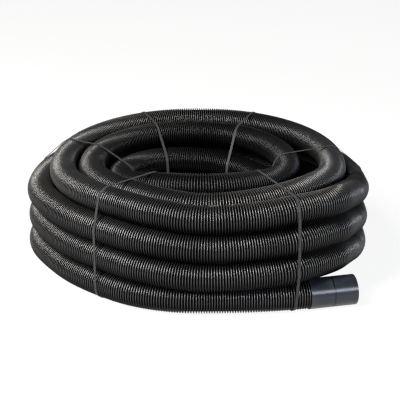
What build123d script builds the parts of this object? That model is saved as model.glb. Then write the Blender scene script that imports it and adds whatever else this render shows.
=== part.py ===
from build123d import *
import math
import os

# A strapped coil of twinwall cable duct that lies flat, with a push-fit coupler on its outer end.
# Millimetres, +Z up, the coil's axis on Z and the floor at Z = 0. The camera side, or front, is -Y.

# Duct
duct_od = 63.0
duct_wall = 6.5

# Coil
coil_radius = 370.0
turn_gap = 0.6

# Straps
strap_width = 6.0
strap_thick = 0.6
strap_slack = 0.3
strap_bend = math.radians(10.0)

# Coupler
coupler_length = 105.0
coupler_wall = 1.4
socket_slack = 0.2
stop_width = 3.0
stop_height = 3.0
groove_width = 3.0
groove_depth = 0.9
lip_radius = 0.5
end_slack = 0.3
coupler_bearing = 13.0
coupler_azimuth = 35.3
coupler_outset = 36.0

# Core of hidden turns
core_gap = 1.0
core_outer_inset = 0.44
core_inner_inset = 2.90
core_top_level = 2.68

# The turns touch at the lay pitch, and the lowest ones lie on the straps that pass below them.
lay_pitch = duct_od + turn_gap
first_level = strap_thick + strap_slack + duct_od / 2

duct_bore = duct_od - 2 * duct_wall
socket_radius = duct_od / 2 + socket_slack
coupler_radius = socket_radius + coupler_wall

# The winding from the coupler inwards. A row gives the turns wound so far, counted clockwise from the
# front, and the inset from the outer turns and the height above the lowest, both in lay pitches.
first_turn = [
    (0.00, 0.27, 0.00),
    (0.06, 0.34, 0.00),
    (0.11, 0.43, 0.00),
    (0.16, 0.35, 0.00),
    (0.25, -0.06, 0.00),
    (0.50, 0.00, 0.00),
    (0.75, 0.02, 0.02),
]
# Where a turn comes round to the coupler it swings out and climbs over it, onto the turn before.
climb = [
    (0.80, -0.02, 0.30),
    (0.84, -0.23, 0.74),
    (0.88, -0.50, 1.00),
    (0.91, -0.50, 1.05),
    (0.95, -0.26, 1.00),
    (1.00, -0.06, 0.96),
    (1.05, 0.21, 1.00),
    (1.11, 0.44, 1.01),
    (1.16, 0.36, 1.01),
    (1.25, -0.01, 1.01),
    (1.50, 0.00, 1.01),
    (1.75, 0.02, 1.03),
]
outer_turns = 3
turn_rise = 1.01
climb_lead = 0.005
# From the third climb on, the turns lie on top and spiral into the eye, and the last ones line it.
inner_turns = [
    (2.79, -0.02, 2.34),
    (2.84, -0.25, 2.84),
    (2.88, -0.52, 3.10),
    (2.91, -0.40, 3.12),
    (2.95, -0.18, 3.02),
    (3.00, 0.03, 2.97),
    (3.04, 0.34, 3.00),
    (3.09, 0.65, 3.00),
    (3.25, 0.86, 2.80),
    (3.50, 0.71, 2.85),
    (3.75, 0.86, 2.78),
    (3.90, 0.98, 3.00),
    (3.95, 0.96, 3.00),
    (4.00, 1.10, 2.96),
    (4.04, 1.38, 2.95),
    (4.09, 1.72, 2.92),
    (4.25, 1.92, 2.80),
    (4.50, 2.10, 2.76),
    (4.75, 2.50, 2.68),
    (5.00, 2.76, 3.02),
    (5.25, 2.93, 2.30),
    (5.50, 2.90, 1.87),
    (5.75, 3.02, 1.48),
    (6.00, 3.04, 1.25),
    (6.25, 3.04, 1.12),
    (6.50, 3.04, 0.80),
    (6.75, 3.04, 0.35),
    (6.92, 3.04, 0.00),
]
winding = list(first_turn)
for number in range(outer_turns - 1):
    winding += [
        (turns + number - number * climb_lead, inset, level + number * turn_rise)
        for turns, inset, level in climb
    ]
winding += inner_turns

# Where each strap crosses the coil, seen from above: a point in the eye and one outside the coil, in coil
# radii.
strap_lines = [
    ((0.00, -0.12), (-0.56, -0.77)),
    ((0.24, -0.04), (0.54, -0.93)),
    ((0.12, -0.13), (1.05, 0.16)),
    ((0.05, 0.03), (0.43, 0.91)),
    ((-0.07, 0.01), (-0.43, 0.93)),
    ((-0.11, -0.17), (-0.92, 0.27)),
]


def station(row):
    """A point of the winding: radius and height at the angle that its count of turns gives."""
    turns, inset, level = row
    angle = -math.pi / 2 - 2 * math.pi * turns
    radius = coil_radius - inset * lay_pitch
    return Vector(radius * math.cos(angle), radius * math.sin(angle), first_level + level * lay_pitch)


def slope(rows, index, column):
    """How fast a column changes for each turn: level at a peak or an end, so that no turn overshoots."""
    if index in (0, len(rows) - 1):
        return 0.0
    before, here, after = rows[index - 1], rows[index], rows[index + 1]
    span_a = here[0] - before[0]
    span_b = after[0] - here[0]
    rate_a = (here[column] - before[column]) / span_a
    rate_b = (after[column] - here[column]) / span_b
    if rate_a * rate_b <= 0:
        return 0.0
    weight_a = span_a + 2 * span_b
    weight_b = 2 * span_a + span_b
    return (weight_a + weight_b) / (weight_a / rate_a + weight_b / rate_b)


def heading(rows, index):
    """The direction of the winding at a station: around the axis, inwards and up."""
    turns, inset, _ = rows[index]
    angle = -math.pi / 2 - 2 * math.pi * turns
    outwards = Vector(math.cos(angle), math.sin(angle), 0)
    around = Vector(math.sin(angle), -math.cos(angle), 0)
    radius = coil_radius - inset * lay_pitch
    inward_rate = slope(rows, index, 1) * lay_pitch
    rise_rate = slope(rows, index, 2) * lay_pitch
    return (around * (2 * math.pi * radius) - outwards * inward_rate + Vector(0, 0, rise_rate)).normalized()


def two_arcs(start, start_heading, end, end_heading):
    """Two arcs, tangent to each other and to both headings, that join two stations."""
    chord = end - start
    bend = 2 * (1 - start_heading.dot(end_heading))
    along = 2 * chord.dot(start_heading + end_heading)
    reach = (-along + math.sqrt(along * along + 4 * bend * chord.dot(chord))) / (2 * bend)
    corner_a = start + start_heading * reach
    corner_b = end - end_heading * reach
    middle = (corner_a + corner_b) * 0.5
    middle_heading = (corner_b - corner_a).normalized()
    return [
        Edge.make_tangent_arc(start, start_heading, middle),
        Edge.make_tangent_arc(middle, middle_heading, end),
    ]


def coupler_axis():
    """The coupler's axis line, which points out of its open front socket."""
    bearing = math.radians(coupler_bearing)
    return Vector(math.cos(bearing), math.sin(bearing), 0)


def coupler_middle():
    """The middle of the coupler, which lies on the floor."""
    azimuth = math.radians(coupler_azimuth)
    mouth_radius = coil_radius + coupler_outset
    rear_mouth = Vector(mouth_radius * math.sin(azimuth), -mouth_radius * math.cos(azimuth), coupler_radius)
    return rear_mouth + coupler_axis() * (coupler_length / 2)


def duct_route():
    """The duct's centreline: straight out of the coupler, then arcs from station to station."""
    out = coupler_axis() * -1
    duct_end = coupler_middle() + out * (stop_width / 2 + end_slack)
    rear_mouth = coupler_middle() + out * (coupler_length / 2)
    edges = [Edge.make_line(duct_end, rear_mouth)]
    edges += two_arcs(rear_mouth, out, station(winding[0]), heading(winding, 0))
    for index in range(len(winding) - 1):
        edges += two_arcs(
            station(winding[index]),
            heading(winding, index),
            station(winding[index + 1]),
            heading(winding, index + 1),
        )
    return edges


def tube(edges, diameter):
    """A round bar of one diameter along some of the route's edges."""
    path = Wire(edges)
    start = Plane(origin=path @ 0, z_dir=path % 0)
    return sweep(start * Circle(diameter / 2), path=path)


def build_duct(edges):
    """The duct along its whole route, with its bore as far in from each end as the first bends."""
    return tube(edges, duct_od) - tube(edges[:3], duct_bore) - tube(edges[-2:], duct_bore)


def core_limits():
    """The core's inner and outer radius, bottom and top: clear of the turns round it, level with the lowest."""
    inner = coil_radius - core_inner_inset * lay_pitch + duct_od / 2 + core_gap
    outer = coil_radius - core_outer_inset * lay_pitch - duct_od / 2 - core_gap
    bottom = first_level - duct_od / 2
    top = first_level + core_top_level * lay_pitch - duct_od / 2 - core_gap
    return inner, outer, bottom, top


def build_core():
    """A plain round-edged ring in the place of the turns that the outer, top and inner ones hide."""
    inner, outer, bottom, top = core_limits()
    with BuildPart() as core:
        with BuildSketch(Plane.XZ):
            with Locations(((inner + outer) / 2, (bottom + top) / 2)):
                RectangleRounded(outer - inner, top - bottom, duct_od / 2)
        revolve(axis=Axis.Z)
    return core.part


def core_bends():
    """The circles on which the core's round edges are centred, as if a turn of duct lay along each."""
    inner, outer, bottom, top = core_limits()
    return [
        Edge.make_circle(radius, Plane(origin=(0, 0, height)))
        for radius in (inner + duct_od / 2, outer - duct_od / 2)
        for height in (bottom + duct_od / 2, top - duct_od / 2)
    ]


def build_coupler():
    """A smooth sleeve with a stop rib inside and a groove outside at mid-length."""
    with BuildPart() as sleeve:
        with BuildSketch(Plane.XZ):
            with Locations((0, (socket_radius + coupler_radius) / 2)):
                Rectangle(coupler_length, coupler_wall)
            with Locations((0, socket_radius - stop_height / 2)):
                Rectangle(stop_width, stop_height)
            with Locations((0, coupler_radius - groove_depth / 2)):
                Rectangle(groove_width, groove_depth, mode=Mode.SUBTRACT)
        revolve(axis=Axis.X)
        ends = sleeve.faces().filter_by(GeomType.PLANE).sort_by(Axis.X)
        fillet(ends[0].edges() + ends[-1].edges(), lip_radius)
    middle = coupler_middle()
    return Location((middle.X, middle.Y, middle.Z), (0, 0, coupler_bearing)) * sleeve.part


def points_in_band(edges, strap_plane):
    """Points around the circles in which a band cuts the turns, taken as balls along their centrelines."""
    duct_radius = duct_od / 2
    points = []
    for edge in edges:
        count = math.ceil(edge.length / strap_width)
        for index in range(count):
            spot = strap_plane.to_local_coords(edge @ ((index + 0.5) / count))
            past_band = max(abs(spot.Z) - strap_width / 2, 0)
            if spot.X > 0 and past_band < duct_radius:
                reach = (math.sqrt(duct_radius**2 - past_band**2) + strap_slack) / math.cos(strap_bend / 2)
                for step in range(round(2 * math.pi / strap_bend)):
                    angle = (step + 0.5) * strap_bend
                    points.append((spot.X + reach * math.cos(angle), spot.Y + reach * math.sin(angle)))
    return points


def half_outline(points):
    """The lower half of the convex outline of points that are sorted from left to right."""
    chain = []
    for point in points:
        while len(chain) > 1 and turn_of(chain[-2], chain[-1], point) <= 0:
            chain.pop()
        chain.append(point)
    return chain


def turn_of(first, middle, last):
    """Positive where the way from the first point over the middle one to the last turns left."""
    return ((middle[0] - first[0]) * (last[1] - middle[1])
            - (middle[1] - first[1]) * (last[0] - middle[0]))


def strap_outline(points):
    """The taut outline around all points, without corners that lie closer together than the band is thick."""
    points = sorted(points)
    loop = half_outline(points)[:-1] + half_outline(points[::-1])[:-1]
    outline = []
    for point in loop:
        if all(math.dist(point, other) > 2 * strap_thick for other in outline[-1:] + outline[:1]):
            outline.append(point)
    return outline


def build_strap(edges, line):
    """A closed band in one upright plane, drawn tight around all the turns."""
    inner, outer = [Vector(x * coil_radius, y * coil_radius, 0) for x, y in line]
    along = (outer - inner).normalized()
    strap_plane = Plane(origin=inner, x_dir=along, z_dir=along.cross(Vector(0, 0, 1)))
    inside = make_face(Polyline(*strap_outline(points_in_band(edges, strap_plane)), close=True))
    band = offset(inside, strap_thick, kind=Kind.INTERSECTION) - inside
    return extrude(strap_plane * band, strap_width / 2, both=True)


os.makedirs("parts", exist_ok=True)
route = duct_route()
duct = build_duct(route)
route_length = sum(edge.length for edge in route)
bore_length = sum(edge.length for edge in route[:3] + route[-2:])
sections = math.pi / 4 * (duct_od**2 * route_length - duct_bore**2 * bore_length)
print(f"duct length {route_length / 1000:.2f} m, volume over section times length {duct.volume / sections:.5f}")
export_step(duct, "parts/duct.step")
export_step(build_core(), "parts/core.step")
export_step(build_coupler(), "parts/coupler.step")
for number, line in enumerate(strap_lines, start=1):
    export_step(build_strap(route + core_bends(), line), f"parts/strap_{number}.step")
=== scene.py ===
import math

import bpy
import numpy as np
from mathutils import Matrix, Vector


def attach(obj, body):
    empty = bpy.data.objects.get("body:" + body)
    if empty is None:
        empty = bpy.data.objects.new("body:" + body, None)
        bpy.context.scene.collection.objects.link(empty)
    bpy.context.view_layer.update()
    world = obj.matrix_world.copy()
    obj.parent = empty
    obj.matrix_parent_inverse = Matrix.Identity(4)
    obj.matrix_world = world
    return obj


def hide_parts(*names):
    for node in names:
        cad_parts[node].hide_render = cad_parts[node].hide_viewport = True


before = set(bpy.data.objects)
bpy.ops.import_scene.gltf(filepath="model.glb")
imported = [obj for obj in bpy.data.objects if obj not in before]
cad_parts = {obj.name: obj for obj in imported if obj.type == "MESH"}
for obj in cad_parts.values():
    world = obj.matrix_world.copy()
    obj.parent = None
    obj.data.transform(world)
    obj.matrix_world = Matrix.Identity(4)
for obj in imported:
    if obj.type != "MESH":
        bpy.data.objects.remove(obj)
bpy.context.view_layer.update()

# The duct's lay. One length of duct is wound from its inner end outwards and strapped, so each turn lies
# against the one before. The centreline is arcs that meet tangentially at listed stations.
DUCT_OD = 0.063
DUCT_BORE = 0.050
COIL_RADIUS = 0.370
LAY_PITCH = DUCT_OD + 0.0006
FIRST_LEVEL = 0.0009 + DUCT_OD / 2
COUPLER_LENGTH = 0.105
COUPLER_RADIUS = 0.0331
COUPLER_BEARING = math.radians(13.0)
MOUTH_AZIMUTH = math.radians(35.3)
MOUTH_REACH = COIL_RADIUS + 0.036
# The middle of the coupler's end that takes the duct.
COUPLER_MOUTH = np.array([
    MOUTH_REACH * math.sin(MOUTH_AZIMUTH), -MOUTH_REACH * math.cos(MOUTH_AZIMUTH), COUPLER_RADIUS,
])
STOP_TO_END = 0.0018
# Turns from the front, inset from the outer turns and height above the lowest, both in lay pitches.
FIRST_TURN = np.array([
    (0.00, 0.27, 0.00),
    (0.06, 0.34, 0.00),
    (0.11, 0.43, 0.00),
    (0.16, 0.35, 0.00),
    (0.25, -0.06, 0.00),
    (0.50, 0.00, 0.00),
    (0.75, 0.02, 0.02),
])
# Where a turn comes round to the coupler it swings out and climbs over it, onto the turn before.
CLIMB = np.array([
    (0.80, -0.02, 0.30),
    (0.84, -0.23, 0.74),
    (0.88, -0.50, 1.00),
    (0.91, -0.50, 1.05),
    (0.95, -0.26, 1.00),
    (1.00, -0.06, 0.96),
    (1.05, 0.21, 1.00),
    (1.11, 0.44, 1.01),
    (1.16, 0.36, 1.01),
    (1.25, -0.01, 1.01),
    (1.50, 0.00, 1.01),
    (1.75, 0.02, 1.03),
])
NEXT_CLIMB = np.array([0.995, 0.0, 1.01])
# From the third climb on, the turns lie on top and spiral into the eye, and the last ones line it.
INNER_TURNS = np.array([
    (2.79, -0.02, 2.34),
    (2.84, -0.25, 2.84),
    (2.88, -0.52, 3.10),
    (2.91, -0.40, 3.12),
    (2.95, -0.18, 3.02),
    (3.00, 0.03, 2.97),
    (3.04, 0.34, 3.00),
    (3.09, 0.65, 3.00),
    (3.25, 0.86, 2.80),
    (3.50, 0.71, 2.85),
    (3.75, 0.86, 2.78),
    (3.90, 0.98, 3.00),
    (3.95, 0.96, 3.00),
    (4.00, 1.10, 2.96),
    (4.04, 1.38, 2.95),
    (4.09, 1.72, 2.92),
    (4.25, 1.92, 2.80),
    (4.50, 2.10, 2.76),
    (4.75, 2.50, 2.68),
    (5.00, 2.76, 3.02),
    (5.25, 2.93, 2.30),
    (5.50, 2.90, 1.87),
    (5.75, 3.02, 1.48),
    (6.00, 3.04, 1.25),
    (6.25, 3.04, 1.12),
    (6.50, 3.04, 0.80),
    (6.75, 3.04, 0.35),
    (6.92, 3.04, 0.00),
])
WINDING = np.vstack([FIRST_TURN, CLIMB, CLIMB + NEXT_CLIMB, INNER_TURNS])


def unit(vectors):
    """Each vector divided by its own length."""
    return vectors / np.linalg.norm(vectors, axis=-1, keepdims=True)


def rates(turns, values):
    """Change for each turn at every station: the weighted harmonic mean of the two sides, 0 at a peak."""
    span = np.diff(turns)
    rate = np.diff(values) / span
    before, after = rate[:-1], rate[1:]
    weight_a = span[:-1] + 2 * span[1:]
    weight_b = 2 * span[:-1] + span[1:]
    same_way = before * after > 0
    before = np.where(same_way, before, 1.0)
    after = np.where(same_way, after, 1.0)
    inner = np.where(same_way, (weight_a + weight_b) / (weight_a / before + weight_b / after), 0.0)
    return np.concatenate([[0.0], inner, [0.0]])


def lay_stations():
    """Station points and headings: radius * (cos, sin) of the angle, at the level's height."""
    turns, inset, level = WINDING.T
    angle = -math.pi / 2 - 2 * math.pi * turns
    radius = COIL_RADIUS - inset * LAY_PITCH
    outwards = np.stack([np.cos(angle), np.sin(angle), 0 * angle], axis=1)
    around = np.stack([np.sin(angle), -np.cos(angle), 0 * angle], axis=1)
    up = np.array([0.0, 0.0, 1.0])
    points = outwards * radius[:, None] + up * (FIRST_LEVEL + level * LAY_PITCH)[:, None]
    headings = (around * (2 * math.pi * radius)[:, None]
                - outwards * (rates(turns, inset) * LAY_PITCH)[:, None]
                + up * (rates(turns, level) * LAY_PITCH)[:, None])
    axis = np.array([math.cos(COUPLER_BEARING), math.sin(COUPLER_BEARING), 0.0])
    duct_end = COUPLER_MOUTH + axis * (COUPLER_LENGTH / 2 - STOP_TO_END)
    points = np.vstack([duct_end, COUPLER_MOUTH, points])
    return points, unit(np.vstack([-axis, -axis, headings]))


def two_arcs(start, start_heading, end, end_heading):
    """The middle point and heading where two tangent arcs of equal reach meet between two stations."""
    chord = end - start
    bend = 2 * (1 - start_heading @ end_heading)
    along = 2 * chord @ (start_heading + end_heading)
    root = math.sqrt(along * along + 4 * bend * (chord @ chord))
    reach = 2 * (chord @ chord) / (along + root)
    corner_a = start + start_heading * reach
    corner_b = end - end_heading * reach
    return (corner_a + corner_b) / 2, unit(corner_b - corner_a)


# Below these an arc counts as straight: half its angle, its width in metres and its bend.
NO_TURN = 1e-9
NO_WIDTH = 1e-12
NO_BEND = 1e-6


class Lay:
    """The centreline as a row of arcs, each with its start, heading, side towards its centre and bend."""

    def __init__(self):
        points, headings = lay_stations()
        knots, leads = [points[0]], [headings[0]]
        for index, (point, heading) in enumerate(zip(points[1:], headings[1:])):
            if index > 0:
                middle, lead = two_arcs(points[index], headings[index], point, heading)
                knots.append(middle)
                leads.append(lead)
            knots.append(point)
            leads.append(heading)
        knots, leads = np.array(knots), np.array(leads)
        chord = np.diff(knots, axis=0)
        self.start = knots[:-1]
        self.lead = leads[:-1]
        span = np.linalg.norm(chord, axis=1)
        across = chord - self.lead * np.sum(chord * self.lead, axis=1, keepdims=True)
        width = np.linalg.norm(across, axis=1)
        half_turn = np.arcsin(np.clip(width / span, 0, 1))
        curved = np.maximum(half_turn, NO_TURN)
        self.side = across / np.maximum(width, NO_WIDTH)[:, None]
        self.bend = 2 * width / span**2
        self.length = np.where(half_turn > NO_TURN, span * curved / np.sin(curved), span)
        self.ends = np.cumsum(self.length)
        self.total = self.ends[-1]

    def at(self, distance):
        """Points and headings at distances along the duct: start + (sin * lead + (1 - cos) * side) / bend."""
        index = np.minimum(np.searchsorted(self.ends, distance), len(self.ends) - 1)
        past = distance - (self.ends[index] - self.length[index])
        bend = self.bend[index][:, None]
        turned = past[:, None] * bend
        straight = bend < NO_BEND
        safe = np.where(straight, 1.0, bend)
        forward = np.where(straight, past[:, None], np.sin(turned) / safe)
        aside = np.where(straight, 0.0, (1 - np.cos(turned)) / safe)
        point = self.start[index] + forward * self.lead[index] + aside * self.side[index]
        heading = np.cos(turned) * self.lead[index] + np.sin(turned) * self.side[index]
        return point, unit(heading)


lay = Lay()

# The duct: twinwall polyethylene, a corrugated outer wall welded to a smooth bore. It is extruded in one
# piece, and is made here turn by turn so that each mesh stays light.
RIB_PITCH = 0.0055
RIB_DEPTH = 0.0044
# Share of the pitch and share of the depth of each ring across a rib.
RIB_PROFILE = ((0.00, 0.0), (0.42, 0.0), (0.52, 0.80), (0.71, 1.0), (0.90, 0.80))
# Between the two rings at a cut edge, between the rings of the bore, and points in a ring.
RIM_STEP = 0.0002
BORE_STEP = 0.030
SIDES = 36


def wall_rows(first_rib, last_rib):
    """Distance, radius and crest value of each ring of a closed wall: the ribs out, then the bore back."""
    ribs = np.arange(first_rib, last_rib)
    shares = np.array([share for share, _ in RIB_PROFILE])
    crests = np.array([crest for _, crest in RIB_PROFILE])
    outside = ((ribs[:, None] + shares) * RIB_PITCH).ravel()
    crest = np.tile(crests, len(ribs))
    low, high = first_rib * RIB_PITCH, last_rib * RIB_PITCH
    outside = np.concatenate([[low], outside[:1] + RIM_STEP, outside[1:], [high - RIM_STEP, high]])
    crest = np.concatenate([[0.0], crest, [0.0, 0.0]])
    steps = max(2, round((high - low) / BORE_STEP))
    inside = np.linspace(high, low, steps + 1)
    inside = np.concatenate([[high], [high - RIM_STEP], inside[1:-1], [low + RIM_STEP], [low]])
    valley = DUCT_OD / 2 - RIB_DEPTH
    radius = np.concatenate([valley + crest * RIB_DEPTH, np.full(len(inside), DUCT_BORE / 2)])
    return np.concatenate([outside, inside]), radius, np.concatenate([crest, np.zeros(len(inside))])


def ring_grid(distance, radius, sides):
    """Rings round the centreline: point + radius * (cos * across + sin * upright), side by side."""
    point, heading = lay.at(distance)
    across = unit(np.cross(np.array([0.0, 0.0, 1.0]), heading))
    upright = np.cross(heading, across)
    angle = np.arange(sides) * (2 * math.pi / sides)
    cosine = np.cos(angle)[None, :, None]
    sine = np.sin(angle)[None, :, None]
    ring = cosine * across[:, None, :] + sine * upright[:, None, :]
    return point[:, None, :] + radius[:, None, None] * ring


def closed_grid_mesh(name, grid):
    """A mesh from a grid of points that closes on itself both ways, with its faces outward."""
    rows, sides, _ = grid.shape
    index = np.arange(rows * sides).reshape(rows, sides)
    ahead = np.roll(index, -1, axis=0)
    faces = np.stack([index, np.roll(index, -1, axis=1), np.roll(ahead, -1, axis=1), ahead], axis=-1)
    faces = faces.reshape(-1, 4)
    mesh = bpy.data.meshes.new(name)
    mesh.vertices.add(rows * sides)
    mesh.vertices.foreach_set("co", grid.reshape(-1).astype(np.float32))
    mesh.loops.add(faces.size)
    mesh.loops.foreach_set("vertex_index", faces.ravel().astype(np.int32))
    mesh.polygons.add(len(faces))
    mesh.polygons.foreach_set("loop_start", np.arange(len(faces), dtype=np.int32) * 4)
    mesh.polygons.foreach_set("use_smooth", np.ones(len(faces), dtype=bool))
    mesh.update(calc_edges=True)
    mesh.validate()
    return mesh


def point_value(mesh, name, values):
    """A number at each vertex that the material reads."""
    layer = mesh.attributes.new(name, "FLOAT", "POINT")
    layer.data.foreach_set("value", values.astype(np.float32))


def place(name, mesh, material):
    """An object at the origin that rides with the coil and takes the given finish."""
    piece = bpy.data.objects.new(name, mesh)
    bpy.context.scene.collection.objects.link(piece)
    mesh.materials.append(material)
    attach(piece, "root")
    return piece


class Socket:
    """A node's output in an expression: each operator adds the Math node that works it out."""

    def __init__(self, paint, link):
        self.paint = paint
        self.link = link

    def __add__(self, other):
        return self.paint.math("ADD", self, other)

    def __radd__(self, other):
        return self.paint.math("ADD", other, self)

    def __sub__(self, other):
        return self.paint.math("SUBTRACT", self, other)

    def __rsub__(self, other):
        return self.paint.math("SUBTRACT", other, self)

    def __mul__(self, other):
        return self.paint.math("MULTIPLY", self, other)

    def __rmul__(self, other):
        return self.paint.math("MULTIPLY", other, self)


NOISE_ROUGHNESS = 0.55
PLASTIC_IOR = 1.5


class Paint:
    """A material and its nodes."""

    def __init__(self, name):
        self.material = bpy.data.materials.new(name)
        self.material.use_nodes = True
        self.tree = self.material.node_tree
        self.tree.nodes.clear()

    def node(self, kind, settings=None, inputs=None, output=0):
        """Any node by its type, its settings and the values or links of its sockets."""
        made = self.tree.nodes.new(kind)
        for key, value in (settings or {}).items():
            setattr(made, key, value)
        for key, value in (inputs or {}).items():
            if isinstance(value, Socket):
                self.tree.links.new(value.link, made.inputs[key])
            else:
                made.inputs[key].default_value = value
        return Socket(self, made.outputs[output])

    def math(self, operation, first, second):
        """A Math node on two sockets or numbers."""
        return self.node("ShaderNodeMath", {"operation": operation}, {0: first, 1: second})

    def object_point(self):
        """The place on the coil, in metres."""
        return self.node("ShaderNodeTexCoord", output="Object")

    def noise(self, scale, detail):
        """Cloudy noise from 0 to 1, with about as many blotches to the metre as its scale."""
        return self.node("ShaderNodeTexNoise", inputs={
            "Vector": self.object_point(), "Scale": scale, "Detail": detail, "Roughness": NOISE_ROUGHNESS,
        })

    def between(self, value, low, high, to_low=0.0, to_high=1.0):
        """A smooth step from one value to another, as a value goes from low to high."""
        return self.node("ShaderNodeMapRange", {"interpolation_type": "SMOOTHSTEP"}, {
            "Value": value, "From Min": low, "From Max": high, "To Min": to_low, "To Max": to_high,
        })

    def bump(self, height, strength, depth):
        """A bent normal from a height."""
        return self.node("ShaderNodeBump", inputs={"Strength": strength, "Distance": depth, "Height": height})

    def blend(self, share, first, second):
        """A colour between two colours."""
        return self.node("ShaderNodeMix", {"data_type": "RGBA"}, {0: share, 6: first, 7: second}, output=2)

    def finish(self, **inputs):
        """The surface shader with its inputs, linked to the material's output."""
        shader = self.node("ShaderNodeBsdfPrincipled", inputs=inputs)
        out = self.tree.nodes.new("ShaderNodeOutputMaterial")
        self.tree.links.new(shader.link, out.inputs["Surface"])
        return self.material


BARE_BLACK = (0.003, 0.003, 0.0035, 1.0)
CREST_WEAR_AND_HIGHLIGHT = (0.050, 0.0495, 0.048, 1.0)
# The paler crest grows from the eye to the outer turns, wear with painted shade in the eye: metres from the
# coil's axis, and the share in the eye.
EYE_SIDE = 0.20
OUTER_TURNS = 0.34
EYE_SHADE_AND_WEAR = 0.30
# It is greatest on a turn's shoulder, a painted highlight, and dimmer on the undersides and tops as painted
# shade: the height of the normal there and below, and the shares elsewhere.
UNDERSIDE = -0.50
SHOULDER = 0.70
UNDERSIDE_SHADE_SHARE = 0.10
TOP_SHADE_SHARE = 0.50
# The share of a rib's height at which the paler crest (wear and painted highlight) starts, and at which it is
# whole.
FLANK = 0.60
CREST_TOP = 0.95
# Blotches to the metre of the wear and of the skin's grain, and the grain's depth.
WEAR_PATCHES = 7.0
DUCT_GRAIN = 420.0
DUCT_GRAIN_DEPTH = 0.0004


def black_duct_plastic():
    """Carbon-black polyethylene, its crests paler and glossier from wear and a painted highlight, most on the
    outer turns' shoulders, with painted shade in the eye and on the undersides.
    """
    paint = Paint("black_duct_plastic")
    crest = paint.node("ShaderNodeAttribute", {"attribute_name": "crest"}, output="Fac")
    patches = paint.between(paint.noise(WEAR_PATCHES, 4.0), 0.40, 0.66)
    grain = paint.noise(DUCT_GRAIN, 2.0)
    upwards = paint.node("ShaderNodeSeparateXYZ", inputs={
        "Vector": paint.node("ShaderNodeNewGeometry", output="Normal"),
    }, output="Z")
    level_place = paint.node("ShaderNodeVectorMath", {"operation": "MULTIPLY"}, {
        0: paint.object_point(), 1: (1.0, 1.0, 0.0),
    })
    from_axis = paint.node("ShaderNodeVectorMath", {"operation": "LENGTH"}, {0: level_place}, output="Value")
    # Wear and painted shade: the paler crest fades towards the eye.
    outer_wear_and_eye_shade = paint.between(from_axis, EYE_SIDE, OUTER_TURNS, EYE_SHADE_AND_WEAR, 1.0)
    # Painted light and shade: crests facing up at the shoulder are paler, undersides and tops darker, by the
    # height of the normal.
    underside_painted_shade = paint.between(upwards, UNDERSIDE, SHOULDER, UNDERSIDE_SHADE_SHARE, 1.0)
    top_painted_shade = paint.between(upwards, SHOULDER, 1.0, 1.0, TOP_SHADE_SHARE)
    wear_and_painted_light = outer_wear_and_eye_shade * (underside_painted_shade * top_painted_shade) * (0.72 + 0.28 * patches)
    crest_wear_and_highlight = paint.between(crest, FLANK, CREST_TOP) * wear_and_painted_light
    # The paler crest colour is partly wear and partly a painted highlight, with painted light and shade from
    # the masks above.
    colour = paint.blend(crest_wear_and_highlight, BARE_BLACK, CREST_WEAR_AND_HIGHLIGHT)
    rough = 0.40 - 0.16 * crest_wear_and_highlight + 0.08 * grain
    return paint.finish(**{
        "Base Color": colour, "Roughness": rough, "Normal": paint.bump(grain, 0.04, DUCT_GRAIN_DEPTH),
        "IOR": PLASTIC_IOR, "Specular IOR Level": 0.05,
        "Coat Weight": crest_wear_and_highlight, "Coat Roughness": 0.32, "Coat IOR": 2.2,
    })


LAY_SAMPLES = 4000


def turn_ends():
    """The number of ribs from the duct's end to each whole turn: its angle, met along the centreline."""
    distance = np.linspace(0, lay.total, LAY_SAMPLES)
    point, _ = lay.at(distance)
    turns = (-math.pi / 2 - np.unwrap(np.arctan2(point[:, 1], point[:, 0]))) / (2 * math.pi)
    whole_turns = np.arange(1, math.ceil(WINDING[-1, 0]))
    inner = [int(ribs) for ribs in np.interp(whole_turns, turns, distance) / RIB_PITCH]
    return [0] + inner + [int(lay.total / RIB_PITCH)]


duct_plastic = black_duct_plastic()
rib_bounds = turn_ends()
for number, (first_rib, last_rib) in enumerate(zip(rib_bounds, rib_bounds[1:]), start=1):
    distance, radius, crest = wall_rows(first_rib, last_rib)
    turn_mesh = closed_grid_mesh(f"duct_turn_{number}", ring_grid(distance, radius, SIDES))
    point_value(turn_mesh, "crest", np.repeat(crest, SIDES))
    turn_piece = place(f"duct_turn_{number}", turn_mesh, duct_plastic)
    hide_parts("duct")


# The coupler: one smooth moulded polyethylene sleeve, pushed over the duct's outer end, with a groove round
# the outside at mid-length, darkened with painted shade.
GROOVE_WIDTH = 0.003
COUPLER_DARK = (0.016, 0.021, 0.029, 1.0)
COUPLER_PALE = (0.028, 0.034, 0.045, 1.0)
GROOVE_SHADE = (0.004, 0.004, 0.004, 1.0)
FLOW_MARKS = 30.0
COUPLER_GRAIN = 900.0
COUPLER_GRAIN_DEPTH = 0.0003


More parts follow.
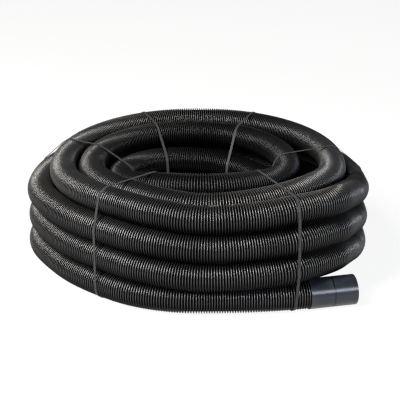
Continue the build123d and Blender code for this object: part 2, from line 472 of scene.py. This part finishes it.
def black_coupler_plastic():
    """Moulded polyethylene, smoother than the duct, with faint flow marks and painted shade in its groove."""
    paint = Paint("black_coupler_plastic")
    flow = paint.noise(FLOW_MARKS, 3.0)
    grain = paint.noise(COUPLER_GRAIN, 2.0)
    plastic = paint.blend(paint.between(flow, 0.4, 0.7), COUPLER_DARK, COUPLER_PALE)
    from_mouth = paint.node("ShaderNodeVectorMath", {"operation": "SUBTRACT"}, {
        0: paint.object_point(), 1: tuple(COUPLER_MOUTH),
    })
    along = paint.node("ShaderNodeVectorMath", {"operation": "DOT_PRODUCT"}, {
        0: from_mouth, 1: (math.cos(COUPLER_BEARING), math.sin(COUPLER_BEARING), 0.0),
    }, output="Value")
    off_groove = paint.math("ABSOLUTE", along - COUPLER_LENGTH / 2, 0.0)
    # Painted shade: the groove round the middle is darkened to near black.
    groove_shade = paint.between(off_groove, GROOVE_WIDTH * 0.35, GROOVE_WIDTH * 0.6, 1.0, 0.0)
    return paint.finish(**{
        "Base Color": paint.blend(groove_shade, plastic, GROOVE_SHADE),
        "Roughness": 0.22 + 0.10 * flow + 0.05 * grain,
        "Normal": paint.bump(grain, 0.08, COUPLER_GRAIN_DEPTH),
        "IOR": PLASTIC_IOR, "Specular IOR Level": 0.5,
    })


def coat(node, material):
    """Gives a solid of the frame its finish."""
    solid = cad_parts[node]
    solid.data.materials.clear()
    solid.data.materials.append(material)


coat("coupler", black_coupler_plastic())


# The core: the turns hidden inside the coil, which show only as darkness between the outer ones. It keeps
# its plain ring and takes the duct's ribs as bump.
CORE_RIBS = 300.0
CORE_RIB_DEPTH = 0.0025
DUST_PATCHES = 12.0
CORE_BLACK = (0.004, 0.004, 0.005, 1.0)
CORE_DUST = (0.012, 0.012, 0.012, 1.0)


def hidden_turns_plastic():
    """The duct's black plastic under dust, its ribs the sine of CORE_RIBS times the angle round the coil."""
    paint = Paint("hidden_turns_plastic")
    right = paint.node("ShaderNodeSeparateXYZ", inputs={"Vector": paint.object_point()}, output="X")
    back = paint.node("ShaderNodeSeparateXYZ", inputs={"Vector": paint.object_point()}, output="Y")
    ribs = paint.math("SINE", paint.math("ARCTAN2", back, right) * CORE_RIBS, 0.0)
    dust = paint.between(paint.noise(DUST_PATCHES, 4.0), 0.45, 0.75)
    return paint.finish(**{
        "Base Color": paint.blend(dust, CORE_BLACK, CORE_DUST), "Roughness": 0.35 + 0.15 * dust,
        "Normal": paint.bump(ribs, 0.8, CORE_RIB_DEPTH), "IOR": PLASTIC_IOR, "Specular IOR Level": 0.2,
    })


coat("core", hidden_turns_plastic())


# The straps: six thin polypropylene bands, each drawn tight around all the turns and closed on itself. They
# keep the solids of the frame.
STRAPS = 6
STRAP_DARK = (0.045, 0.045, 0.047, 1.0)
STRAP_PALE = (0.080, 0.079, 0.076, 1.0)
STRAP_MOTTLE = 600.0
STRAP_MOTTLE_DEPTH = 0.0003


def strap_plastic():
    """Dark grey band with a fine, dull mottle."""
    paint = Paint("strap_plastic")
    mottle = paint.noise(STRAP_MOTTLE, 2.0)
    colour = paint.blend(paint.between(mottle, 0.35, 0.7), STRAP_DARK, STRAP_PALE)
    return paint.finish(**{
        "Base Color": colour, "Roughness": 0.45 + 0.15 * mottle,
        "Normal": paint.bump(mottle, 0.15, STRAP_MOTTLE_DEPTH), "IOR": PLASTIC_IOR, "Specular IOR Level": 0.2,
    })


band_plastic = strap_plastic()
for number in range(1, STRAPS + 1):
    coat(f"strap_{number}", band_plastic)


# The floor: a plain white sheet that shows white to the camera and keeps a soft contact shadow. Its own
# colour is a mid grey, so that it throws little light up at the coil.
FLOOR_SIZE = 30.0
FLOOR_GREY = (0.20, 0.20, 0.20, 1.0)
WHITE = (1.0, 1.0, 1.0, 1.0)
SHEET_GLOW = 0.88


def white_floor():
    """White paper, with a little of its own light for the camera and for gloss."""
    paint = Paint("white_floor")
    seen = paint.node("ShaderNodeLightPath", output="Is Camera Ray")
    glossy = paint.node("ShaderNodeLightPath", output="Is Glossy Ray")
    shown = paint.math("MAXIMUM", seen, glossy)
    return paint.finish(**{
        "Base Color": FLOOR_GREY, "Roughness": 0.9,
        "Emission Color": WHITE, "Emission Strength": shown * SHEET_GLOW,
    })


floor_mesh = bpy.data.meshes.new("floor")
half = FLOOR_SIZE / 2
floor_corners = [(-half, -half, 0), (half, -half, 0), (half, half, 0), (-half, half, 0)]
floor_mesh.from_pydata(floor_corners, [], [(0, 1, 2, 3)])
floor_mesh.materials.append(white_floor())
floor = bpy.data.objects.new("floor", floor_mesh)
bpy.context.scene.collection.objects.link(floor)

# The studio: a white backdrop behind the coil, up to a little over the horizon, and dim elsewhere, apart
# from its lamps. Only gloss and glass see that; the camera sees plain white.
BACKDROP_TOP = 0.10
CEILING_FROM = 0.30
BACKDROP_EDGE = 0.4
DIM_STUDIO = 0.05
AMBIENT = 0.03


class Surroundings(Paint):
    """The world and its nodes."""

    def __init__(self, name):
        world = bpy.data.worlds.new(name)
        bpy.context.scene.world = world
        world.use_nodes = True
        self.tree = world.node_tree

    def ramp(self, value, low, high, to_low, to_high):
        """A straight ramp from one value to another, as a value goes from low to high."""
        return self.node("ShaderNodeMapRange", inputs={
            "Value": value, "From Min": low, "From Max": high, "To Min": to_low, "To Max": to_high,
        })

    def shine(self, strength):
        """White light of a strength that may vary with the way it comes from."""
        background = self.tree.nodes["Background"]
        background.inputs["Color"].default_value = WHITE
        self.tree.links.new(strength.link, background.inputs["Strength"])


studio = Surroundings("studio")
glossy_ray = studio.node("ShaderNodeLightPath", output="Is Glossy Ray")
glass_ray = studio.node("ShaderNodeLightPath", output="Is Transmission Ray")
camera_ray = studio.node("ShaderNodeLightPath", output="Is Camera Ray")
way = studio.node("ShaderNodeTexCoord", output="Generated")
height = studio.node("ShaderNodeSeparateXYZ", inputs={"Vector": way}, output="Z")
backwards = studio.node("ShaderNodeSeparateXYZ", inputs={"Vector": way}, output="Y")
low = studio.ramp(height, BACKDROP_TOP, CEILING_FROM, 1.0, 0.0)
behind = studio.ramp(backwards, 0.0, BACKDROP_EDGE, 0.0, 1.0)
mirrored = studio.math("MAXIMUM", glossy_ray, glass_ray)
reflection = mirrored * studio.math("MAXIMUM", low * behind, DIM_STUDIO)
studio.shine(studio.math("MAXIMUM", reflection + (1.0 - mirrored) * AMBIENT, camera_ray))


# The lamps: a tall softbox from the upper left front, a dim warm one behind the left end and a small cool one
# from the right front.
def aim(made, place_at, aim_at):
    """Puts a lamp or camera at a point, turned to another."""
    made.location = place_at
    made.rotation_euler = (Vector(aim_at) - Vector(place_at)).to_track_quat("-Z", "Y").to_euler()


def lamp(name, place_at, size, power, colour):
    """A rectangular lamp, wide and high, that looks at the coil's middle."""
    data = bpy.data.lights.new(name, "AREA")
    data.shape = "RECTANGLE"
    data.size, data.size_y = size
    data.energy = power
    data.color = colour
    made = bpy.data.objects.new(name, data)
    bpy.context.scene.collection.objects.link(made)
    aim(made, place_at, COIL_MIDDLE)


COIL_MIDDLE = (0.0, 0.0, 0.12)
lamp("key", (-1.5, -1.7, 2.2), size=(0.7, 2.2), power=125.0, colour=(1.0, 0.97, 0.93))
lamp("left", (-2.3, 0.8, 1.5), size=(1.2, 1.0), power=14.0, colour=(1.0, 0.90, 0.80))
lamp("right", (1.5, -1.9, 1.0), size=(0.8, 0.5), power=26.0, colour=(0.80, 0.88, 1.0))

# The camera: a long lens from the front, a little above the coil, as in the photograph.
CAMERA_AT = (0.0046, -2.4666, 1.1057)
CAMERA_AIM = (0.0046, 0.0, 0.1172)
LENS_MM = 100.0
SENSOR_MM = 36.0
# Pixels over which the render blends its samples, narrow enough to keep the ribs sharp.
PIXEL_BLEND = 1.3
camera_data = bpy.data.cameras.new("camera")
camera_data.lens = LENS_MM
camera_data.sensor_width = SENSOR_MM
camera = bpy.data.objects.new("camera", camera_data)
bpy.context.scene.collection.objects.link(camera)
aim(camera, CAMERA_AT, CAMERA_AIM)
bpy.context.scene.camera = camera
bpy.context.scene.view_settings.view_transform = "Standard"
bpy.context.scene.cycles.filter_width = PIXEL_BLEND
